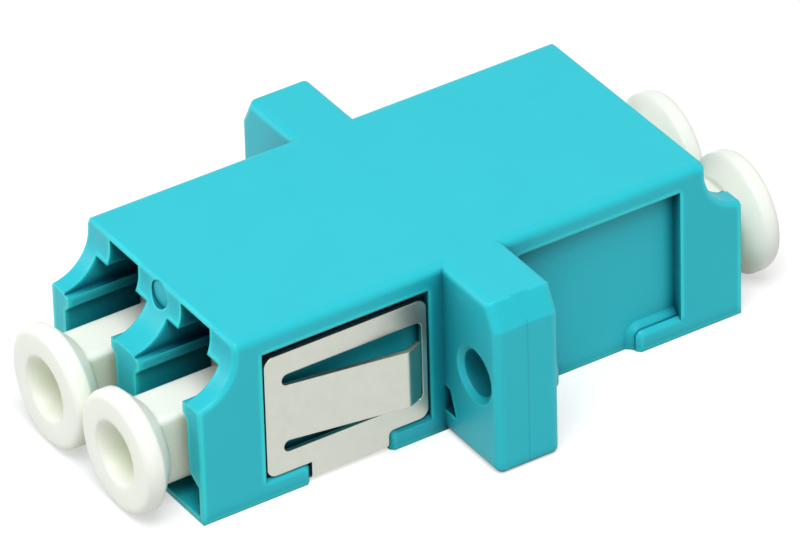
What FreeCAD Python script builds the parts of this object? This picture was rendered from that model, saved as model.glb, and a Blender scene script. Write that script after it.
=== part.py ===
"""LC duplex fibre adapter with flange, side clip and dust caps.

Frame: X across the two ports, Y along the fibre axis, Z up. The origin is on the flat underside, in
the middle of the width and on the weld plane between the two housings. Millimetres.
"""
import FreeCAD, Part
import Sketcher
import math
import os

doc = FreeCAD.newDocument("lc_adapter")

# ---------------------------------------------------------------- driving dimensions
SIZES = {
    # housing, outside
    "side_wall": 1.125,
    "body_height": 9.3,
    "half_length": 15.05,
    "scoop_run": 2.0,
    "scoop_radius": 2.33,
    "scoop_centre_drop": 0.65,
    "top_side_round": 0.45,
    "front_bevel": 0.15,
    # flange
    "flange_width": 22.0,
    "flange_half_thickness": 1.75,
    "shoulder_run": 0.7,
    "shoulder_drop": 1.35,
    "ear_foot_radius": 0.25,
    "ear_round": 0.42,
    "hole_inset": 1.9,
    "hole_diameter": 2.4,
    "hole_mouth_bevel": 0.25,
    "notch_width": 0.95,
    "notch_bottom": 1.25,
    "notch_height": 1.35,
    "notch_depth": 1.1,
    # the two ports
    "port_pitch": 6.25,
    "axis_height": 3.15,
    "port_width": 4.5,
    "port_floor": 0.95,
    "port_height": 4.35,
    "lip_bevel": 0.35,
    "lip_thickness": 0.55,
    "lip_reach": 0.35,
    "tab_height": 1.6,
    "tab_thickness": 1.8,
    "roof_thickness": 0.25,
    "latch_roof_thickness": 0.7,
    "lever_slot_width": 2.5,
    "latch_depth": 9.0,
    "web_half_thickness": 1.25,
    # heel recess under each plug
    "heel_floor": 0.35,
    "heel_top": 1.95,
    "heel_shoulder": 0.5,
    "heel_wall": 0.3,
    "heel_depth": 2.7,
    # sleeve barrels and sleeves
    "barrel_diameter": 2.8,
    "barrel_length": 3.95,
    "sleeve_diameter": 1.62,
    "sleeve_bore": 1.25,
    "sleeve_length": 6.8,
    "sleeve_slot": 0.2,
    "sleeve_clearance": 0.05,
    "ferrule_entry_diameter": 1.36,
    "ferrule_lead_in": 0.3,
    # side recess for the clip
    "recess_depth": 0.65,
    "recess_inset": 0.75,
    "recess_margin": 3.45,
    "recess_bottom": 1.1,
    "recess_drop": 1.1,
    "passage_inset": 2.25,
    "passage_width": 4.4,
    "ledge_corner": 0.35,
    "ledge_cove": 0.3,
    "ledge_bevel": 0.2,
    "groove_depth": 0.35,
    # weld pin of one half in the socket of the other
    "pin_inset": 0.7,
    "pin_drop": 2.7,
    "pin_diameter": 0.9,
    "pin_length": 0.8,
    "pin_clearance": 0.05,
    # ejector mark between the lever slots
    "mark_diameter": 1.4,
    "mark_depth": 0.08,
    "mark_drop": 0.8,
    # spring clip
    "sheet": 0.25,
    "clip_recess": 0.05,
    "clip_end_gap": 0.12,
    "clip_far_gap": 0.12,
    "clip_foot_gap": 0.05,
    "clip_top_gap": 0.4,
    "clip_corner": 0.5,
    "strap_side_gap": 0.08,
    "strap_seat_gap": 0.05,
    "strap_bend": 0.2,
    "strap_neck_round": 0.3,
    "window_top_margin": 1.2,
    "window_foot_margin": 1.1,
    "window_corner": 0.3,
    "window_margin": 0.28,
    "slot_height": 0.63,
    "slot_margin": 1.05,
    "tongue_rise": 1.0,
    "tongue_bend_run": 1.7,
    "tongue_bend_radius": 0.25,
    "lip_length": 0.85,
    "lip_drop": 0.4,
    # dust caps
    "cap_disc_gap": 0.13,
    "cap_disc_thickness": 0.85,
    "cap_disc_front": 2.6,
    "cap_rim_round": 0.3,
    "cap_dome_length": 0.85,
    "cap_dome_end_diameter": 4.3,
    "cap_mouth_diameter": 3.3,
    "cap_throat_diameter": 1.8,
    "cap_mouth_depth": 2.1,
    "cap_blind_depth": 5.4,
    "cap_neck_side_gap": 0.95,
    "cap_neck_foot_gap": 0.3,
    "cap_neck_top_gap": 0.25,
    "cap_neck_bevel": 0.2,
    "cap_neck_end": 4.0,
    "cap_fit": 0.1,
    "cap_overlap": 0.8,
    "cap_bore_clearance": 0.1,
    "cap_bore_floor": 0.65,
    "cap_body_bevel": 0.2,
}

sheet = doc.addObject("Spreadsheet::Sheet", "Sizes")
for row, (alias, value) in enumerate(SIZES.items(), start=1):
    sheet.set(f"A{row}", alias)
    sheet.set(f"B{row}", str(value))
    sheet.setAlias(f"B{row}", alias)
doc.recompute()


def size(text):
    """The value, in mm, of an expression in the sheet's aliases."""
    return float(sheet.evalExpression(expression(text)))


def expression(text):
    """Put the sheet's name before each alias in a formula."""
    words = []
    word = ""
    for letter in str(text) + " ":
        if letter.isalnum() or letter in "_.":
            word += letter
        else:
            words.append(f"<<Sizes>>.{word}" if word in SIZES else word)
            words.append(letter)
            word = ""
    return "".join(words).strip()


# ---------------------------------------------------------------- sketch and feature helpers
def new_body(label):
    body = doc.addObject("PartDesign::Body", label)
    body.Label = label
    return body


def plane(body, role):
    return next(item for item in body.Origin.OriginFeatures if item.Role == role)


def new_sketch(body, role, offset="0"):
    """A sketch on one of the body's planes, moved along that plane's normal by offset.

    XZ_Plane: sketch x is X, sketch y is Z, and the normal is -Y.
    YZ_Plane: sketch x is Y, sketch y is Z, and the normal is +X.
    XY_Plane: sketch x is X, sketch y is Y, and the normal is +Z.
    """
    sketch = body.newObject("Sketcher::SketchObject", "Sketch")
    sketch.AttachmentSupport = [(plane(body, role), "")]
    sketch.MapMode = "FlatFace"
    sketch.setExpression(".AttachmentOffset.Base.z", expression(offset))
    return sketch


def dimension(sketch, kind, geometry, end, text):
    """Dimension one coordinate of a point of the sketch from the sketch's origin."""
    constraint = Sketcher.Constraint(kind, -1, 1, geometry, end, size(text))
    index = sketch.addConstraint(constraint)
    sketch.setExpression(f"Constraints[{index}]", expression(text))


def pin_point(sketch, geometry, end, x, y):
    dimension(sketch, "DistanceX", geometry, end, x)
    dimension(sketch, "DistanceY", geometry, end, y)


def add_outline(sketch, points, arcs=None):
    """A closed outline through points given as pairs of formulas.

    Each side is straight, unless arcs holds its number with (centre x, centre y, turn), where turn
    is 1 for an arc that runs anticlockwise and -1 for one that runs clockwise. The arc's ends and
    its centre x are dimensioned, and its radius follows from them.
    """
    arcs = arcs or {}
    spots = [FreeCAD.Vector(size(x), size(y), 0) for x, y in points]
    first = sketch.GeometryCount
    ends = []
    for side, spot in enumerate(spots):
        following = spots[(side + 1) % len(spots)]
        if side not in arcs:
            sketch.addGeometry(Part.LineSegment(spot, following), False)
            ends.append((1, 2))
            continue
        x, y, turn = arcs[side]
        centre = FreeCAD.Vector(size(x), size(y), 0)
        angles = [math.atan2(end.y - centre.y, end.x - centre.x) for end in (spot, following)]
        circle = Part.Circle(centre, FreeCAD.Vector(0, 0, 1), spot.distanceToPoint(centre))
        sketch.addGeometry(Part.ArcOfCircle(circle, *angles[::turn]), False)
        ends.append((1, 2)[::turn])
    for side, (x, y) in enumerate(points):
        following = (side + 1) % len(points)
        meeting = (first + side, ends[side][1], first + following, ends[following][0])
        sketch.addConstraint(Sketcher.Constraint("Coincident", *meeting))
        pin_point(sketch, first + side, ends[side][0], x, y)
    for side, (x, y, turn) in arcs.items():
        dimension(sketch, "DistanceX", first + side, 3, x)


def add_rectangle(sketch, left, bottom, right, top):
    add_outline(sketch, [(left, bottom), (right, bottom), (right, top), (left, top)])


def cut_corners(left, bottom, right, top, cut):
    """The eight points of a rectangle whose corners are cut off."""
    return [
        (f"{left} + {cut}", bottom),
        (f"{right} - {cut}", bottom),
        (right, f"{bottom} + {cut}"),
        (right, f"{top} - {cut}"),
        (f"{right} - {cut}", top),
        (f"{left} + {cut}", top),
        (left, f"{top} - {cut}"),
        (left, f"{bottom} + {cut}"),
    ]


def add_bevelled_rectangle(sketch, left, bottom, right, top, bevel):
    add_outline(sketch, cut_corners(left, bottom, right, top, bevel))


def add_round_rectangle(sketch, left, bottom, right, top, radius):
    outline = cut_corners(left, bottom, right, top, radius)
    arcs = {
        1: (f"{right} - {radius}", f"{bottom} + {radius}", 1),
        3: (f"{right} - {radius}", f"{top} - {radius}", 1),
        5: (f"{left} + {radius}", f"{top} - {radius}", 1),
        7: (f"{left} + {radius}", f"{bottom} + {radius}", 1),
    }
    add_outline(sketch, outline, arcs)


def add_circle(sketch, x, y, diameter):
    centre = FreeCAD.Vector(size(x), size(y), 0)
    circle = Part.Circle(centre, FreeCAD.Vector(0, 0, 1), size(diameter) / 2)
    index = sketch.addGeometry(circle, False)
    pin_point(sketch, index, 3, x, y)
    bound = sketch.addConstraint(Sketcher.Constraint("Diameter", index, size(diameter)))
    sketch.setExpression(f"Constraints[{bound}]", expression(diameter))


def add_axis(sketch):
    """A construction line on the fibre axis, to turn a profile about."""
    ends = [FreeCAD.Vector(end, size("axis_height"), 0) for end in (-1, 0)]
    index = sketch.addGeometry(Part.LineSegment(*ends), True)
    pin_point(sketch, index, 1, "-1", "axis_height")
    pin_point(sketch, index, 2, "0", "axis_height")


def pad(body, sketch, length, symmetric=False, reverse=False):
    feature = body.newObject("PartDesign::Pad", "Pad")
    feature.Profile = sketch
    feature.setExpression("Length", expression(length))
    feature.SideType = "Symmetric" if symmetric else "One side"
    feature.Reversed = reverse
    doc.recompute()
    return feature


def pocket(body, sketch, length, symmetric=False, reverse=False):
    """Cut against the sketch's normal, or along it when reversed."""
    before = body.Shape.Volume
    feature = body.newObject("PartDesign::Pocket", "Pocket")
    feature.Profile = sketch
    feature.setExpression("Length", expression(length))
    feature.SideType = "Symmetric" if symmetric else "One side"
    feature.Reversed = reverse
    doc.recompute()
    if body.Shape.Volume > before - 1e-6:
        raise RuntimeError(f"{body.Label}: {feature.Name} cuts nothing")
    return feature


def revolve(body, sketch, kind):
    """Turn the sketch about its construction line, to add (Revolution) or to cut (Groove)."""
    feature = body.newObject(f"PartDesign::{kind}", kind)
    feature.Profile = sketch
    feature.ReferenceAxis = (sketch, ["Axis0"])
    feature.Angle = 360
    doc.recompute()
    return feature


def mirror(body, features):
    """Repeat features on the other side of the YZ plane."""
    feature = body.newObject("PartDesign::Mirrored", "Mirrored")
    feature.Originals = features
    feature.MirrorPlane = (plane(body, "YZ_Plane"), [""])
    body.Tip = feature
    doc.recompute()
    return feature


def dress_edges(body, kind, measure, value, wanted):
    """Fillet or chamfer each edge of the body's tip whose bounding box is wanted."""
    tip = body.Tip
    edges = enumerate(tip.Shape.Edges, start=1)
    names = [f"Edge{number}" for number, edge in edges if wanted(edge.BoundBox)]
    if not names:
        raise RuntimeError(f"{body.Label}: no edge to dress by {value}")
    feature = body.newObject(f"PartDesign::{kind}", kind)
    feature.Base = (tip, names)
    feature.setExpression(measure, expression(value))
    doc.recompute()
    if not feature.Shape.isValid() or not feature.Shape.Solids:
        raise RuntimeError(f"{body.Label}: {value} leaves no valid solid")
    return feature


def round_edges(body, radius, wanted):
    return dress_edges(body, "Fillet", "Radius", radius, wanted)


def bevel_edges(body, width, wanted):
    return dress_edges(body, "Chamfer", "Size", width, wanted)


def lies_at(low, high, text):
    """True where an edge's box is flat at the value of text, on the axis of low and high."""
    return abs(low - size(text)) < 1e-4 and abs(high - size(text)) < 1e-4


def turn_round(body):
    """Stand the body at the rear: half a turn about Z."""
    body.Placement = FreeCAD.Placement(FreeCAD.Vector(), FreeCAD.Rotation(180, 0, 0))


# ---------------------------------------------------------------- named places
PORT = "(port_pitch / 2)"
PORT_INNER = f"({PORT} - port_width / 2)"
PORT_OUTER = f"({PORT} + port_width / 2)"
SIDE = f"({PORT_OUTER} + side_wall)"
EAR_EDGE = "(flange_width / 2)"
TOP_LENGTH = "(half_length - scoop_run)"
LIP_UNDERSIDE = "(port_floor + port_height)"
LIP_EDGE = f"({LIP_UNDERSIDE} + lip_bevel)"
LIP_TOP = f"({LIP_EDGE} + lip_thickness)"
TAB_BOTTOM = "(body_height - tab_height)"
TAB_BACK = f"({TOP_LENGTH} - tab_thickness)"
LATCH_END = "(half_length - latch_depth)"
BARREL_END = "(web_half_thickness + barrel_length)"
SLEEVE_POCKET = "(sleeve_length / 2 + sleeve_clearance)"
RECESS_FLOOR = f"({SIDE} - recess_depth)"
RECESS_START = "(flange_half_thickness + recess_inset)"
RECESS_END = "(half_length - recess_margin)"
RECESS_TOP = "(body_height - recess_drop)"
PASSAGE_START = f"({RECESS_START} + passage_inset)"
PASSAGE_END = f"({PASSAGE_START} + passage_width)"
CLIP_FACE = f"({SIDE} - clip_recess)"
CLIP_FOOT = "(recess_bottom + clip_foot_gap)"
CLIP_TOP = f"({RECESS_TOP} - clip_top_gap)"
WINDOW_TOP = f"({CLIP_TOP} - window_top_margin)"
WINDOW_BOTTOM = f"({CLIP_FOOT} + window_foot_margin)"
ROOT = f"({RECESS_END} - slot_margin - slot_height / 2)"
TONGUE_BEND = f"({RECESS_START} + tongue_bend_run)"
CREST = f"({CLIP_FACE} + tongue_rise)"


# ---------------------------------------------------------------- housing half
def housing_block(body):
    """The moulding's outside: a block with scooped side walls, and the flange across it."""
    scoop_centre = f"-({TOP_LENGTH} + scoop_radius)"
    scoop_height = "(body_height - scoop_centre_drop)"
    scoop_foot = f"{scoop_height} - sqrt(scoop_radius^2 - (scoop_radius - scoop_run)^2)"
    side = new_sketch(body, "YZ_Plane")
    outline = [
        ("0", "0"),
        ("0", "body_height"),
        (f"-{TOP_LENGTH}", "body_height"),
        (f"-{TOP_LENGTH}", scoop_height),
        ("-half_length", scoop_foot),
        ("-half_length", "0"),
    ]
    add_outline(side, outline, {3: (scoop_centre, scoop_height, -1)})
    pad(body, side, f"2 * {SIDE}", symmetric=True)

    shoulder = f"({EAR_EDGE} - shoulder_run)"
    shoulder_height = "body_height - shoulder_drop"
    flange = new_sketch(body, "XZ_Plane")
    outline = [
        (f"-{EAR_EDGE}", "0"),
        (EAR_EDGE, "0"),
        (EAR_EDGE, shoulder_height),
        (shoulder, "body_height"),
        (f"-{shoulder}", "body_height"),
        (f"-{EAR_EDGE}", shoulder_height),
    ]
    add_outline(flange, outline)
    pad(body, flange, "flange_half_thickness")


def round_block(body):
    """Round the flange's faces and feet and the long top edges; bevel the front's outline."""
    def on_side(box):
        return lies_at(box.XMin, box.XMax, SIDE) or lies_at(box.XMin, box.XMax, f"-{SIDE}")

    def on_flange_face(box):
        outside = abs(box.XMin + box.XMax) / 2 > size(SIDE) + 0.01
        return outside and lies_at(box.YMin, box.YMax, "-flange_half_thickness")

    def is_ear_foot(box):
        at_edge = abs(abs(box.XMin) - size(EAR_EDGE)) < 1e-4
        return at_edge and box.XLength < 1e-4 and lies_at(box.ZMin, box.ZMax, "0")

    def is_long_top(box):
        along = box.YLength > size("flange_half_thickness")
        return along and on_side(box) and box.ZMin > size("body_height") - 0.01

    def is_front_top(box):
        at_front = lies_at(box.YMin, box.YMax, f"-{TOP_LENGTH}")
        return at_front and lies_at(box.ZMin, box.ZMax, "body_height")

    round_edges(body, "ear_round", on_flange_face)
    round_edges(body, "ear_foot_radius", is_ear_foot)
    round_edges(body, "top_side_round", is_long_top)
    bevel_edges(body, "front_bevel", is_front_top)


def cut_port(body):
    """One duplex port: plug hole, heel recess, latch space with its lips, and lever slot."""
    plug_hole = new_sketch(body, "XZ_Plane", "half_length")
    outline = [
        (PORT_INNER, "port_floor"),
        (PORT_OUTER, "port_floor"),
        (PORT_OUTER, LIP_UNDERSIDE),
        (f"{PORT_OUTER} - lip_reach", LIP_EDGE),
        (f"{PORT_INNER} + lip_reach", LIP_EDGE),
        (PORT_INNER, LIP_UNDERSIDE),
    ]
    add_outline(plug_hole, outline)
    features = [pocket(body, plug_hole, "half_length - web_half_thickness")]

    heel = new_sketch(body, "XZ_Plane", "half_length")
    heel_side = f"{SIDE} - heel_wall"
    heel_brow = "heel_top + heel_shoulder"
    outline = [
        (PORT_INNER, "heel_floor"),
        (heel_side, "heel_floor"),
        (heel_side, "heel_top"),
        (PORT_OUTER, heel_brow),
        (PORT_INNER, heel_brow),
    ]
    add_outline(heel, outline)
    features.append(pocket(body, heel, "heel_depth"))

    lever_inner = f"{PORT} - lever_slot_width / 2"
    lever_outer = f"{PORT} + lever_slot_width / 2"
    latch = new_sketch(body, "XZ_Plane", "half_length")
    outline = [
        (f"{PORT_INNER} + lip_reach", LIP_EDGE),
        (f"{PORT_OUTER} - lip_reach", LIP_EDGE),
        (f"{PORT_OUTER} - lip_reach", LIP_TOP),
        (PORT_OUTER, LIP_TOP),
        (PORT_OUTER, TAB_BOTTOM),
        (lever_outer, TAB_BOTTOM),
        (lever_outer, "body_height - roof_thickness"),
        (lever_inner, "body_height - roof_thickness"),
        (lever_inner, TAB_BOTTOM),
        (PORT_INNER, TAB_BOTTOM),
        (PORT_INNER, LIP_TOP),
        (f"{PORT_INNER} + lip_reach", LIP_TOP),
    ]
    add_outline(latch, outline)
    features.append(pocket(body, latch, "latch_depth"))

    behind_tabs = new_sketch(body, "XZ_Plane", TAB_BACK)
    latch_roof = "body_height - latch_roof_thickness"
    add_rectangle(behind_tabs, PORT_INNER, TAB_BOTTOM, PORT_OUTER, latch_roof)
    features.append(pocket(body, behind_tabs, f"{TAB_BACK} - {LATCH_END}"))
    return features


def add_barrel(body):
    """The tube at the port's back wall that holds half of the alignment sleeve."""
    barrel = new_sketch(body, "XZ_Plane", "web_half_thickness")
    add_circle(barrel, PORT, "axis_height", "barrel_diameter")
    features = [pad(body, barrel, "barrel_length")]

    seat = new_sketch(body, "XZ_Plane")
    add_circle(seat, PORT, "axis_height", "sleeve_diameter + 2 * sleeve_clearance")
    features.append(pocket(body, seat, SLEEVE_POCKET, reverse=True))

    entry = new_sketch(body, "YZ_Plane", PORT)
    entry_wall = "axis_height + ferrule_entry_diameter / 2"
    outline = [
        (f"-{BARREL_END}", "axis_height"),
        (f"-{BARREL_END}", f"{entry_wall} + ferrule_lead_in"),
        (f"-{BARREL_END} + ferrule_lead_in", entry_wall),
        (f"-{SLEEVE_POCKET}", entry_wall),
        (f"-{SLEEVE_POCKET}", "axis_height"),
    ]
    add_outline(entry, outline)
    add_axis(entry)
    features.append(revolve(body, entry, "Groove"))
    return features


def cut_side(body):
    """The clip's recess in the side wall, and the strap's passage down to the underside."""
    recess = new_sketch(body, "YZ_Plane", SIDE)
    add_rectangle(recess, f"-{RECESS_END}", "recess_bottom", f"-{RECESS_START}", RECESS_TOP)
    features = [pocket(body, recess, "recess_depth")]

    passage = new_sketch(body, "YZ_Plane", SIDE)
    turn_height = "recess_bottom - ledge_corner"
    outline = [
        (f"-{PASSAGE_END}", "0"),
        (f"-{PASSAGE_START}", "0"),
        (f"-{PASSAGE_START}", turn_height),
        (f"-{PASSAGE_START} + ledge_corner", "recess_bottom"),
        (f"-{PASSAGE_END} - ledge_corner", "recess_bottom"),
        (f"-{PASSAGE_END}", turn_height),
    ]
    arcs = {
        2: (f"-{PASSAGE_START} + ledge_corner", turn_height, -1),
        4: (f"-{PASSAGE_END} - ledge_corner", turn_height, -1),
    }
    add_outline(passage, outline, arcs)
    features.append(pocket(body, passage, "recess_depth"))
    return features


def ease_ledges(body):
    """Fill the inner corners along the ledges and bevel their outer edges, on both sides."""
    def is_upright(box):
        at_start = lies_at(box.YMin, box.YMax, f"-{PASSAGE_START}")
        at_end = lies_at(box.YMin, box.YMax, f"-{PASSAGE_END}")
        return (at_start or at_end) and box.ZLength > size("recess_bottom") / 2

    def is_inner(box):
        return is_upright(box) and lies_at(abs(box.XMin), abs(box.XMax), RECESS_FLOOR)

    def is_outer(box):
        return is_upright(box) and lies_at(abs(box.XMin), abs(box.XMax), SIDE)

    bevel_edges(body, "ledge_cove", is_inner)
    bevel_edges(body, "ledge_bevel", is_outer)


def cut_ear(body):
    """The screw hole of one ear, and the small notch where its face meets the body."""
    hole = new_sketch(body, "XZ_Plane", "flange_half_thickness")
    add_circle(hole, f"{EAR_EDGE} - hole_inset", "body_height / 2", "hole_diameter")
    features = [pocket(body, hole, "flange_half_thickness")]

    notch = new_sketch(body, "XZ_Plane", "flange_half_thickness")
    outline = [
        (SIDE, "notch_bottom"),
        (f"{SIDE} + notch_width", "notch_bottom"),
        (f"{SIDE} + notch_width / 2", "notch_bottom + notch_height"),
        (SIDE, "notch_bottom + notch_height"),
    ]
    add_outline(notch, outline)
    features.append(pocket(body, notch, "notch_depth"))
    return features


def bevel_hole_mouths(body):
    """Bevel the front rim of both screw holes."""
    def is_rim(box):
        round_rim = lies_at(box.XLength, box.ZLength, "hole_diameter")
        return round_rim and lies_at(box.YMin, box.YMax, "-flange_half_thickness")

    bevel_edges(body, "hole_mouth_bevel", is_rim)


def add_mark_and_weld(body):
    """The ejector mark, and the pin and socket of the weld face."""
    mark = new_sketch(body, "XZ_Plane", "half_length")
    add_circle(mark, "0", "body_height - mark_drop", "mark_diameter")
    pocket(body, mark, "scoop_run + mark_depth")

    pin_place = f"{SIDE} + pin_inset"
    pin_height = "body_height - pin_drop"
    pin = new_sketch(body, "XZ_Plane")
    add_circle(pin, pin_place, pin_height, "pin_diameter")
    pad(body, pin, "pin_length", reverse=True)

    socket = new_sketch(body, "XZ_Plane")
    add_circle(socket, f"-({pin_place})", pin_height, "pin_diameter + 2 * pin_clearance")
    pocket(body, socket, "pin_length + pin_clearance", reverse=True)


def cut_strap_groove(body):
    """The groove that takes the clip's strap across the underside."""
    groove = new_sketch(body, "YZ_Plane")
    add_rectangle(groove, f"-{PASSAGE_END}", "0", f"-{PASSAGE_START}", "groove_depth")
    pocket(body, groove, f"2 * {SIDE}", symmetric=True)


def housing(label):
    body = new_body(label)
    housing_block(body)
    round_block(body)
    features = cut_port(body)
    features += add_barrel(body)
    features += cut_side(body)
    features += cut_ear(body)
    mirror(body, features)
    ease_ledges(body)
    bevel_hole_mouths(body)
    add_mark_and_weld(body)
    return body


# ---------------------------------------------------------------- spring clip
def clip_strap(body):
    """The strap that runs down both passages and across under the body."""
    outer = CLIP_FACE
    inner = f"({outer} - sheet)"
    under = "(groove_depth - strap_seat_gap - sheet)"
    bend = "(strap_bend + sheet)"
    strap = new_sketch(body, "XZ_Plane", f"{PASSAGE_START} + strap_side_gap")
    outline = [
        (f"-{outer}", f"{under} + {bend}"),
        (f"-{outer} + {bend}", under),
        (f"{outer} - {bend}", under),
        (outer, f"{under} + {bend}"),
        (outer, CLIP_FOOT),
        (inner, CLIP_FOOT),
        (inner, f"{under} + {bend}"),
        (f"{outer} - {bend}", f"{under} + sheet"),
        (f"-{outer} + {bend}", f"{under} + sheet"),
        (f"-{inner}", f"{under} + {bend}"),
        (f"-{inner}", CLIP_FOOT),
        (f"-{outer}", CLIP_FOOT),
    ]
    right = (f"{outer} - {bend}", f"{under} + {bend}")
    left = (f"-{outer} + {bend}", f"{under} + {bend}")
    arcs = {
        0: (*left, 1),
        2: (*right, 1),
        6: (*right, -1),
        8: (*left, -1),
    }
    add_outline(strap, outline, arcs)
    pad(body, strap, "passage_width - 2 * strap_side_gap")


def clip_plate(body):
    """One side plate, with the window that its tongue is cut from."""
    near_end = f"({RECESS_START} + clip_end_gap)"
    far_end = f"({RECESS_END} - clip_far_gap)"
    plate = new_sketch(body, "YZ_Plane", CLIP_FACE)
    add_round_rectangle(plate, f"-{far_end}", CLIP_FOOT, f"-{near_end}", CLIP_TOP, "clip_corner")
    features = [pad(body, plate, "sheet", reverse=True)]

    near_edge = f"({near_end} + window_margin)"
    half_slot = "slot_height / 2"
    window = new_sketch(body, "YZ_Plane", CLIP_FACE)
    outline = [
        (f"-{ROOT}", WINDOW_BOTTOM),
        (f"-{near_edge} - window_corner", WINDOW_BOTTOM),
        (f"-{near_edge}", f"{WINDOW_BOTTOM} + window_corner"),
        (f"-{near_edge}", f"{WINDOW_TOP} - window_corner"),
        (f"-{near_edge} - window_corner", WINDOW_TOP),
        (f"-{ROOT}", WINDOW_TOP),
        (f"-{ROOT}", f"{WINDOW_TOP} - slot_height"),
        (f"-{ROOT}", f"{WINDOW_BOTTOM} + slot_height"),
    ]
    arcs = {
        1: (f"-{near_edge} - window_corner", f"{WINDOW_BOTTOM} + window_corner", 1),
        3: (f"-{near_edge} - window_corner", f"{WINDOW_TOP} - window_corner", 1),
        5: (f"-{ROOT}", f"{WINDOW_TOP} - {half_slot}", 1),
        7: (f"-{ROOT}", f"{WINDOW_BOTTOM} + {half_slot}", 1),
    }
    add_outline(window, outline, arcs)
    features.append(pocket(body, window, "sheet"))
    return features


def clip_tongue(body):
    """The tongue: it rises from its root to a bend, and its lip turns back in."""
    run = f"({ROOT} - {TONGUE_BEND})"
    rise_shift = f"sheet * sqrt(1 + (tongue_rise / {run})^2)"
    lip = "sqrt(lip_length^2 + lip_drop^2)"
    lip_shift = f"sheet * {lip} / lip_length"
    slopes = f"(tongue_rise / {run} + lip_drop / lip_length)"
    back = f"(({rise_shift} - {lip_shift}) / {slopes})"
    tongue = new_sketch(body, "XY_Plane", f"{WINDOW_BOTTOM} + slot_height")
    outline = [
        (CLIP_FACE, f"-{ROOT}"),
        (CREST, f"-{TONGUE_BEND}"),
        (f"{CREST} - lip_drop", f"-{TONGUE_BEND} + lip_length"),
        (f"{CREST} - lip_drop - sheet * lip_length / {lip}",
         f"-{TONGUE_BEND} + lip_length - sheet * lip_drop / {lip}"),
        (f"{CREST} - {rise_shift} + {back} * tongue_rise / {run}", f"-{TONGUE_BEND} + {back}"),
        (f"{CLIP_FACE} - {rise_shift}", f"-{ROOT}"),
    ]
    add_outline(tongue, outline[::-1])
    return [pad(body, tongue, f"{WINDOW_TOP} - {WINDOW_BOTTOM} - 2 * slot_height")]


def panel_clip():
    body = new_body("panel_clip")
    clip_strap(body)
    features = clip_plate(body)
    features += clip_tongue(body)
    mirror(body, features)

    def is_neck(box):
        at_strap = lies_at(box.YMin, box.YMax, f"-({PASSAGE_START} + strap_side_gap)")
        return at_strap and lies_at(box.ZMin, box.ZMax, CLIP_FOOT)

    def is_bend(box):
        upright = box.YLength < 1e-4 and box.ZLength > size("sheet")
        return upright and abs(box.YMin + size(TONGUE_BEND)) < size("sheet")

    def is_outer_bend(box):
        return is_bend(box) and abs(box.XMin) > size(f"{CREST} - sheet / 2")

    def is_inner_bend(box):
        return is_bend(box) and size(SIDE) < abs(box.XMin) < size(f"{CREST} - sheet / 2")

    round_edges(body, "strap_neck_round", is_neck)
    round_edges(body, "tongue_bend_radius + sheet", is_outer_bend)
    round_edges(body, "tongue_bend_radius", is_inner_bend)
    return body


# ---------------------------------------------------------------- alignment sleeve
def sleeve(label, x):
    """A split tube: the slot runs its whole length, on top."""
    body = new_body(label)
    tube = new_sketch(body, "XZ_Plane")
    add_circle(tube, x, "axis_height", "sleeve_diameter")
    add_circle(tube, x, "axis_height", "sleeve_bore")
    pad(body, tube, "sleeve_length", symmetric=True)

    slot = new_sketch(body, "XZ_Plane")
    half = "sleeve_slot / 2"
    add_rectangle(slot, f"{x} - {half}", "axis_height", f"{x} + {half}", "axis_height + sleeve_diameter")
    pocket(body, slot, "sleeve_length", symmetric=True)
    return body


# ---------------------------------------------------------------- dust cap
FRONT = "(half_length + cap_disc_front)"
DISC_BACK = f"({FRONT} - cap_disc_thickness)"
DOME_END = f"({DISC_BACK} - cap_dome_length)"
NECK_END = "(half_length - cap_neck_end)"
PLUG_END = f"({BARREL_END} - cap_overlap)"


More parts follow.
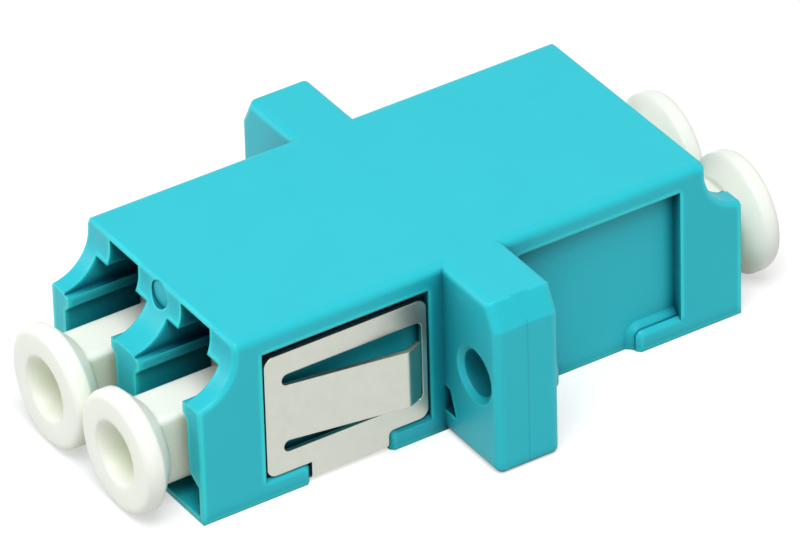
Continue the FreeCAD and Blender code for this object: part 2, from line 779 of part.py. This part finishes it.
def dust_cap(label, x):
    body = new_body(label)

    def radius_at(diameter):
        return f"axis_height + {diameter} / 2"

    disc = new_sketch(body, "YZ_Plane", x)
    rim = radius_at("(port_pitch - cap_disc_gap)")
    rim_cut = "cap_rim_round * (1 - sqrt(0.5))"
    outline = [
        (f"-{FRONT}", "axis_height"),
        (f"-{FRONT}", f"{rim} - cap_rim_round"),
        (f"-{FRONT} + {rim_cut}", f"{rim} - {rim_cut}"),
        (f"-{FRONT} + cap_rim_round", rim),
        (f"-{DISC_BACK}", rim),
        (f"-{DOME_END}", radius_at("cap_dome_end_diameter")),
        (f"-{DOME_END}", "axis_height"),
    ]
    add_outline(disc, outline)
    add_axis(disc)
    revolve(body, disc, "Revolution")

    neck = new_sketch(body, "XZ_Plane", NECK_END)
    half_neck = "(port_width / 2 - cap_neck_side_gap)"
    add_bevelled_rectangle(neck, f"{x} - {half_neck}", "(port_floor + cap_neck_foot_gap)",
                           f"{x} + {half_neck}", f"({LIP_UNDERSIDE} - cap_neck_top_gap)",
                           "cap_neck_bevel")
    pad(body, neck, f"{DISC_BACK} - {NECK_END}")

    plug = new_sketch(body, "XZ_Plane", PLUG_END)
    half_plug = "(port_width / 2 - cap_fit)"
    add_bevelled_rectangle(plug, f"{x} - {half_plug}", "(port_floor + cap_fit)",
                           f"{x} + {half_plug}", LIP_UNDERSIDE, "cap_body_bevel")
    pad(body, plug, f"{NECK_END} - {PLUG_END}")

    socket = new_sketch(body, "XZ_Plane", PLUG_END)
    add_circle(socket, x, "axis_height", "barrel_diameter + 2 * cap_bore_clearance")
    pocket(body, socket, f"{NECK_END} - cap_bore_floor - {PLUG_END}", reverse=True)

    mouth = new_sketch(body, "YZ_Plane", x)
    outline = [
        (f"-{FRONT}", "axis_height"),
        (f"-{FRONT}", radius_at("cap_mouth_diameter")),
        (f"-{FRONT} + cap_mouth_depth", radius_at("cap_throat_diameter")),
        (f"-{FRONT} + cap_blind_depth", radius_at("cap_throat_diameter")),
        (f"-{FRONT} + cap_blind_depth", "axis_height"),
    ]
    add_outline(mouth, outline)
    add_axis(mouth)
    revolve(body, mouth, "Groove")
    return body


# ---------------------------------------------------------------- the assembly
nodes = []
nodes.append(housing("front_housing"))
cut_strap_groove(nodes[-1])
nodes.append(housing("rear_housing"))
turn_round(nodes[-1])
nodes.append(panel_clip())
nodes.append(sleeve("sleeve_left", f"-{PORT}"))
nodes.append(sleeve("sleeve_right", PORT))
nodes.append(dust_cap("dust_cap_front_left", f"-{PORT}"))
nodes.append(dust_cap("dust_cap_front_right", PORT))
for label, x in (("dust_cap_rear_left", PORT), ("dust_cap_rear_right", f"-{PORT}")):
    nodes.append(dust_cap(label, x))
    turn_round(nodes[-1])
doc.recompute()

# ---------------------------------------------------------------- check and write
for item in doc.Objects:
    if "Invalid" in item.State or "Error" in item.State:
        raise RuntimeError(f"{item.Label} failed: {item.State}")
for node in nodes:
    shape = node.Shape
    if shape.isNull() or not shape.isValid() or len(shape.Solids) != 1:
        raise RuntimeError(f"{node.Label} is not one valid solid")

os.makedirs("parts", exist_ok=True)
for node in nodes:
    node.Shape.exportStep(f"parts/{node.Label}.step")
    box = node.Shape.BoundBox
    print(f"{node.Label}: {node.Shape.Volume:.2f} mm3, "
          f"X {box.XMin:.2f}..{box.XMax:.2f}, Y {box.YMin:.2f}..{box.YMax:.2f}, "
          f"Z {box.ZMin:.2f}..{box.ZMax:.2f}")
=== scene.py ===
"""Looks of an LC duplex fibre adapter: aqua moulded body, stamped steel clip, warm white dust caps."""
import bpy
import math
from mathutils import Matrix, Vector

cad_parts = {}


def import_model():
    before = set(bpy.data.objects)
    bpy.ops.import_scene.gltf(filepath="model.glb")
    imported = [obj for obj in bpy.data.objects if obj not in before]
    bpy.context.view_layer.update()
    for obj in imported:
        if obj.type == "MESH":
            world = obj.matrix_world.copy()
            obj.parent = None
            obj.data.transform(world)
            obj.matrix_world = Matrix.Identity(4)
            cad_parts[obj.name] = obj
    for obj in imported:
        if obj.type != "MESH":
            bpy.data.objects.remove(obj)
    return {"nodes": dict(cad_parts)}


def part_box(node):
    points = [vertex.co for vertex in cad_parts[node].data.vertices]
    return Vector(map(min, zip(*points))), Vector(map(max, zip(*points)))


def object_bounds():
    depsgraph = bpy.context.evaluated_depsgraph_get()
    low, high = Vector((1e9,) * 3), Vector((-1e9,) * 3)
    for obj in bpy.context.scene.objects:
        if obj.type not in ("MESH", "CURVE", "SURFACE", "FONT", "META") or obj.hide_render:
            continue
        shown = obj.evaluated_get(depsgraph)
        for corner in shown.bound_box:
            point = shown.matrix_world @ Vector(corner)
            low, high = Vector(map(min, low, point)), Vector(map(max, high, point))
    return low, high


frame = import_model()
cad_box = [list(corner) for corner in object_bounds()]

# The frame is in metres. Lengths in the helpers and materials below are in millimetres.
MM = 0.001

WHITE = (1, 1, 1, 1)
FLOOR_GREY = (0.55, 0.55, 0.55, 1)

AQUA = (0.012, 0.500, 0.590, 1)
AQUA_PALER = (0.016, 0.525, 0.615, 1)
# Painted glow colour for thin parts and outer edges.
AQUA_PAINTED_GLOW = (0.030, 0.760, 0.790, 1)
AQUA_WELD = (0.010, 0.260, 0.320, 1)
# Painted shade colour for the housing's ports and fine corners.
AQUA_PAINTED_SHADE = (0.002, 0.045, 0.080, 1)

CAP_WHITE = (0.87, 0.91, 0.82, 1)
CAP_PALER = (0.90, 0.93, 0.85, 1)
# Painted shade colour for the cap's mouth and the gaps around it.
CAP_PAINTED_SHADE = (0.84, 0.88, 0.70, 1)

STEEL = (0.475, 0.485, 0.43, 1)
STEEL_PALER = (0.54, 0.55, 0.49, 1)

CERAMIC = (0.84, 0.84, 0.80, 1)
CERAMIC_PALER = (0.88, 0.88, 0.85, 1)


# ---------------------------------------------------------------- node helpers
def empty_tree(owner):
    """The node tree of a material or world, cleared."""
    owner.use_nodes = True
    owner.node_tree.nodes.clear()
    return owner.node_tree


def new_material(name):
    material = bpy.data.materials.new(name)
    return material, empty_tree(material)


def node(tree, kind, inputs=None, **settings):
    """A new node. An input, by name or place, takes a plain value or another node's output."""
    item = tree.nodes.new(kind)
    for name, value in settings.items():
        setattr(item, name, value)
    for name, source in (inputs or {}).items():
        if isinstance(source, bpy.types.NodeSocket):
            tree.links.new(source, item.inputs[name])
        else:
            item.inputs[name].default_value = source
    return item


def surface(tree, inputs):
    """A Principled shader with these inputs, on the material's output."""
    shader = node(tree, "ShaderNodeBsdfPrincipled", inputs)
    node(tree, "ShaderNodeOutputMaterial", {"Surface": shader.outputs["BSDF"]})


def calculate(tree, operation, first, second=0):
    """One sum; an operation on a single number leaves the second alone."""
    return node(tree, "ShaderNodeMath", {0: first, 1: second}, operation=operation).outputs["Value"]


def spread(tree, share, low, high):
    """Map a share of 0 to 1 between low and high."""
    inputs = {"Value": share, "To Min": low, "To Max": high}
    return node(tree, "ShaderNodeMapRange", inputs).outputs["Result"]


def axis_values(tree, vector):
    return node(tree, "ShaderNodeSeparateXYZ", {"Vector": vector}).outputs


def mix(tree, kind, share, first, second):
    """From the first colour or vector, at a share of 0, to the second, at 1."""
    inputs = {"Factor": share, "A": first, "B": second}
    return node(tree, "ShaderNodeMix", inputs, data_type=kind).outputs["Result"]


def place(tree):
    """The point's place in the part's own frame, in millimetres."""
    inputs = {0: node(tree, "ShaderNodeTexCoord").outputs["Object"], "Scale": 1 / MM}
    return node(tree, "ShaderNodeVectorMath", inputs, operation="SCALE").outputs["Vector"]


def noise(tree, where, scale, detail):
    inputs = {"Vector": where, "Scale": scale, "Detail": detail, "Roughness": 0.55}
    return node(tree, "ShaderNodeTexNoise", inputs).outputs["Fac"]


def clouded(tree, where, scale, detail, colour, paler):
    """The colour, clouded with a slightly paler one."""
    return mix(tree, "RGBA", noise(tree, where, scale, detail), colour, paler)


def soft_edges(tree, radius):
    """A normal that rounds sharp edges by the radius."""
    return node(tree, "ShaderNodeBevel", {"Radius": radius * MM}, samples=8).outputs["Normal"]


def add_bump(tree, normal, height, depth):
    """The normal with a fine relief over it."""
    inputs = {"Strength": 1.0, "Distance": depth * MM, "Height": height, "Normal": normal}
    return node(tree, "ShaderNodeBump", inputs).outputs["Normal"]


def openness(tree, reach, shut, clear, **settings):
    """0 deep in a hole or corner and 1 in the open, by how much is shut out within the reach.

    With inside=True it looks into the plastic: 0 in thin parts and at outer edges, 1 in thick ones.
    """
    inputs = {"Distance": reach * MM}
    around = node(tree, "ShaderNodeAmbientOcclusion", inputs, samples=8, **settings)
    inputs = {"Value": around.outputs["AO"], "From Min": shut, "From Max": clear}
    return node(tree, "ShaderNodeMapRange", inputs, interpolation_type="SMOOTHSTEP").outputs["Result"]


# ---------------------------------------------------------------- aqua plastic
def add_weld_line(tree, colour, from_weld, from_middle):
    """The weld's fine line, which shows only on the outer face of each ear."""
    half_width = 0.03
    strength = 0.35
    skin = 0.1
    ear_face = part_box("front_housing")[1].x / MM
    on_ear_face = calculate(tree, "GREATER_THAN", from_middle, ear_face - skin)
    in_line = calculate(tree, "LESS_THAN", from_weld, half_width)
    line = calculate(tree, "MULTIPLY", on_ear_face, in_line)
    return mix(tree, "RGBA", calculate(tree, "MULTIPLY", line, strength), colour, AQUA_WELD)


def add_painted_edge_glow(tree, colour, from_weld, flat_normal):
    """A painted glow: thin plastic and outer edges are painted brighter, for light coming through
    them.

    The top lies over the hidden latch spaces and is left even. At the weld the two halves are one
    mass, so it isn't an edge.
    """
    weld_reach = 0.5
    thick_share = openness(tree, reach=0.3, shut=0.7, clear=1.0, inside=True)
    thin_share = spread(tree, thick_share, low=0.9, high=0.0)
    upward = calculate(tree, "MAXIMUM", axis_values(tree, flat_normal)["Z"], 0)
    sideways = calculate(tree, "SUBTRACT", 1, upward)
    off_weld = calculate(tree, "GREATER_THAN", from_weld, weld_reach)
    painted_glow_share = calculate(tree, "MULTIPLY", thin_share, sideways)
    painted_glow_share = calculate(tree, "MULTIPLY", painted_glow_share, off_weld)
    return mix(tree, "RGBA", painted_glow_share, colour, AQUA_PAINTED_GLOW)


def housing_painted_shade_openness(tree):
    """Openness that sets the painted shade: low in the fine corners and in the ports as a whole."""
    corners = openness(tree, reach=1.2, shut=0.0, clear=0.85)
    ports = openness(tree, reach=6.0, shut=0.2, clear=0.95, only_local=True)
    return calculate(tree, "MULTIPLY", corners, ports)


def aqua_plastic():
    """Satin moulded plastic: slight clouding and mould grain, painted shade in its ports and corners.

    The two halves are welded along y = 0, where the surface runs on without a rounded edge.
    """
    material, tree = new_material("aqua_plastic")
    where = place(tree)
    axes = axis_values(tree, where)
    from_weld = calculate(tree, "ABSOLUTE", axes["Y"])
    from_middle = calculate(tree, "ABSOLUTE", axes["X"])
    flat_normal = node(tree, "ShaderNodeNewGeometry").outputs["Normal"]
    out_of_painted_shade = housing_painted_shade_openness(tree)

    colour = clouded(tree, where, scale=0.35, detail=2, colour=AQUA, paler=AQUA_PALER)
    colour = add_weld_line(tree, colour, from_weld, from_middle)
    # Painted highlight on thin parts and outer edges.
    colour = add_painted_edge_glow(tree, colour, from_weld, flat_normal)
    # Painted shade: the colour goes dark in the ports and fine corners.
    colour = mix(tree, "RGBA", out_of_painted_shade, AQUA_PAINTED_SHADE, colour)

    smooth_weld_reach = 0.25
    off_weld = calculate(tree, "GREATER_THAN", from_weld, smooth_weld_reach)
    normal = mix(tree, "VECTOR", off_weld, flat_normal, soft_edges(tree, radius=0.17))
    grain = noise(tree, where, scale=9.0, detail=3)
    surface(tree, {
        "Base Color": colour,
        "Roughness": spread(tree, grain, low=0.36, high=0.5),
        # Reflection is turned down too in the painted shade.
        "Specular IOR Level": spread(tree, out_of_painted_shade, low=0.0, high=0.32),
        "Normal": add_bump(tree, normal, grain, depth=0.004),
        "Subsurface Weight": 0.12,
        "Subsurface Radius": (0.2, 0.9, 1.0),
        "Subsurface Scale": 0.5 * MM,
    })
    return material


# ---------------------------------------------------------------- other materials
def cap_plastic():
    """Soft warm white plastic that lets light through, with painted shade in its hollows."""
    material, tree = new_material("cap_plastic")
    where = place(tree)
    out_of_painted_shade = openness(tree, reach=3.0, shut=0.1, clear=0.8)
    colour = clouded(tree, where, scale=0.5, detail=2, colour=CAP_WHITE, paler=CAP_PALER)
    grain = noise(tree, where, scale=6.0, detail=3)
    surface(tree, {
        # Painted shade: the colour goes darker where the cap is shut in.
        "Base Color": mix(tree, "RGBA", out_of_painted_shade, CAP_PAINTED_SHADE, colour),
        "Roughness": 0.45,
        "Normal": add_bump(tree, soft_edges(tree, radius=0.32), grain, depth=0.004),
        "Subsurface Weight": 0.5,
        "Subsurface Radius": (1.0, 1.0, 0.8),
        "Subsurface Scale": 0.8 * MM,
    })
    return material


def spring_steel():
    """Rolled stainless sheet: warm grey, slightly mottled, with a faint grain along the body."""
    material, tree = new_material("spring_steel")
    where = place(tree)
    grain_stretch = (1, 1.2, 9)
    rolled = node(tree, "ShaderNodeMapping", {"Vector": where, "Scale": grain_stretch})
    grain = noise(tree, rolled.outputs["Vector"], scale=3.0, detail=4)
    surface(tree, {
        "Base Color": clouded(tree, where, scale=1.6, detail=4, colour=STEEL, paler=STEEL_PALER),
        "Metallic": 1.0,
        "Roughness": spread(tree, grain, low=0.25, high=0.36),
        "Normal": add_bump(tree, soft_edges(tree, radius=0.05), grain, depth=0.002),
    })
    return material


def zirconia():
    """Polished ceramic of the two sleeves inside."""
    material, tree = new_material("zirconia")
    where = place(tree)
    grain = noise(tree, where, scale=5.0, detail=2)
    surface(tree, {
        "Base Color": clouded(tree, where, scale=1.0, detail=2, colour=CERAMIC, paler=CERAMIC_PALER),
        "Roughness": 0.2,
        "Normal": add_bump(tree, soft_edges(tree, radius=0.03), grain, depth=0.001),
    })
    return material


# Each CAD node takes the finish whose word is in its name.
FINISHES = {
    "housing": aqua_plastic(),
    "dust_cap": cap_plastic(),
    "clip": spring_steel(),
    "sleeve": zirconia(),
}
for name, piece in frame["nodes"].items():
    finish = next(material for word, material in FINISHES.items() if word in name)
    for slot in piece.material_slots:
        slot.material = finish


# ---------------------------------------------------------------- floor, light and camera
def floor_material():
    """Pale grey that keeps the part's shadow, lifted to white for the camera and in reflections."""
    material, tree = new_material("pale_floor")
    path = node(tree, "ShaderNodeLightPath").outputs
    to_camera = calculate(tree, "MULTIPLY", path["Is Camera Ray"], 0.5)
    to_reflections = calculate(tree, "MULTIPLY", path["Is Glossy Ray"], 0.65)
    lift = calculate(tree, "MAXIMUM", to_camera, to_reflections)
    diffuse = node(tree, "ShaderNodeBsdfDiffuse", {"Color": FLOOR_GREY})
    glow = node(tree, "ShaderNodeEmission", {"Color": WHITE, "Strength": lift})
    inputs = {0: diffuse.outputs["BSDF"], 1: glow.outputs["Emission"]}
    both = node(tree, "ShaderNodeAddShader", inputs)
    node(tree, "ShaderNodeOutputMaterial", {"Surface": both.outputs["Shader"]})
    return material


def floor():
    """A square floor just below the part, clear of its flat underside."""
    reach = 600 * MM
    gap = 0.02 * MM
    lowest = cad_box[0][2]
    level = lowest - gap
    corners = [(-reach, -reach), (reach, -reach), (reach, reach), (-reach, reach)]
    mesh = bpy.data.meshes.new("floor")
    mesh.from_pydata([(x, y, level) for x, y in corners], [], [(0, 1, 2, 3)])
    mesh.materials.append(floor_material())
    piece = bpy.data.objects.new("floor", mesh)
    bpy.context.scene.collection.objects.link(piece)


def world():
    """A plain pale room: white to the camera and in reflections, softer as light."""
    room = bpy.data.worlds.new("studio")
    tree = empty_tree(room)
    path = node(tree, "ShaderNodeLightPath").outputs
    seen = calculate(tree, "MAXIMUM", path["Is Camera Ray"], path["Is Glossy Ray"])
    strength = spread(tree, seen, low=0.42, high=1.0)
    background = node(tree, "ShaderNodeBackground", {"Color": WHITE, "Strength": strength})
    node(tree, "ShaderNodeOutputWorld", {"Surface": background.outputs["Background"]})
    bpy.context.scene.world = room


def area_light(name, position, size, power):
    """A square soft light aimed at the body; position and size in metres, power in watts."""
    target = Vector((0, 0, 4)) * MM
    data = bpy.data.lights.new(name, "AREA")
    data.size = size
    data.energy = power
    lamp = bpy.data.objects.new(name, data)
    lamp.location = position
    aim = target - lamp.location
    lamp.rotation_euler = aim.to_track_quat("-Z", "Y").to_euler()
    bpy.context.scene.collection.objects.link(lamp)


def camera():
    """A long lens, from the right of the front end and above it."""
    azimuth, elevation, roll = (math.radians(angle) for angle in (57.926, 34.484, -1.625))
    target = Vector((-0.058, 0.095, 4.37)) * MM
    distance = 423.327 * MM
    data = bpy.data.cameras.new("camera")
    data.sensor_width = 36
    data.lens = 405
    data.clip_start = 10 * MM
    piece = bpy.data.objects.new("camera", data)
    piece.matrix_world = (
        Matrix.Translation(target)
        @ Matrix.Rotation(azimuth, 4, "Z")
        @ Matrix.Rotation(math.pi / 2 - elevation, 4, "X")
        @ Matrix.Rotation(roll, 4, "Z")
        @ Matrix.Translation((0, 0, distance))
    )
    bpy.context.scene.collection.objects.link(piece)
    bpy.context.scene.camera = piece


floor()
world()
area_light("key", position=(0.13, -0.08, 0.33), size=0.20, power=1.07)
area_light("front_left", position=(-0.25, -0.30, 0.10), size=0.20, power=0.42)
camera()
bpy.context.scene.view_settings.view_transform = "Standard"
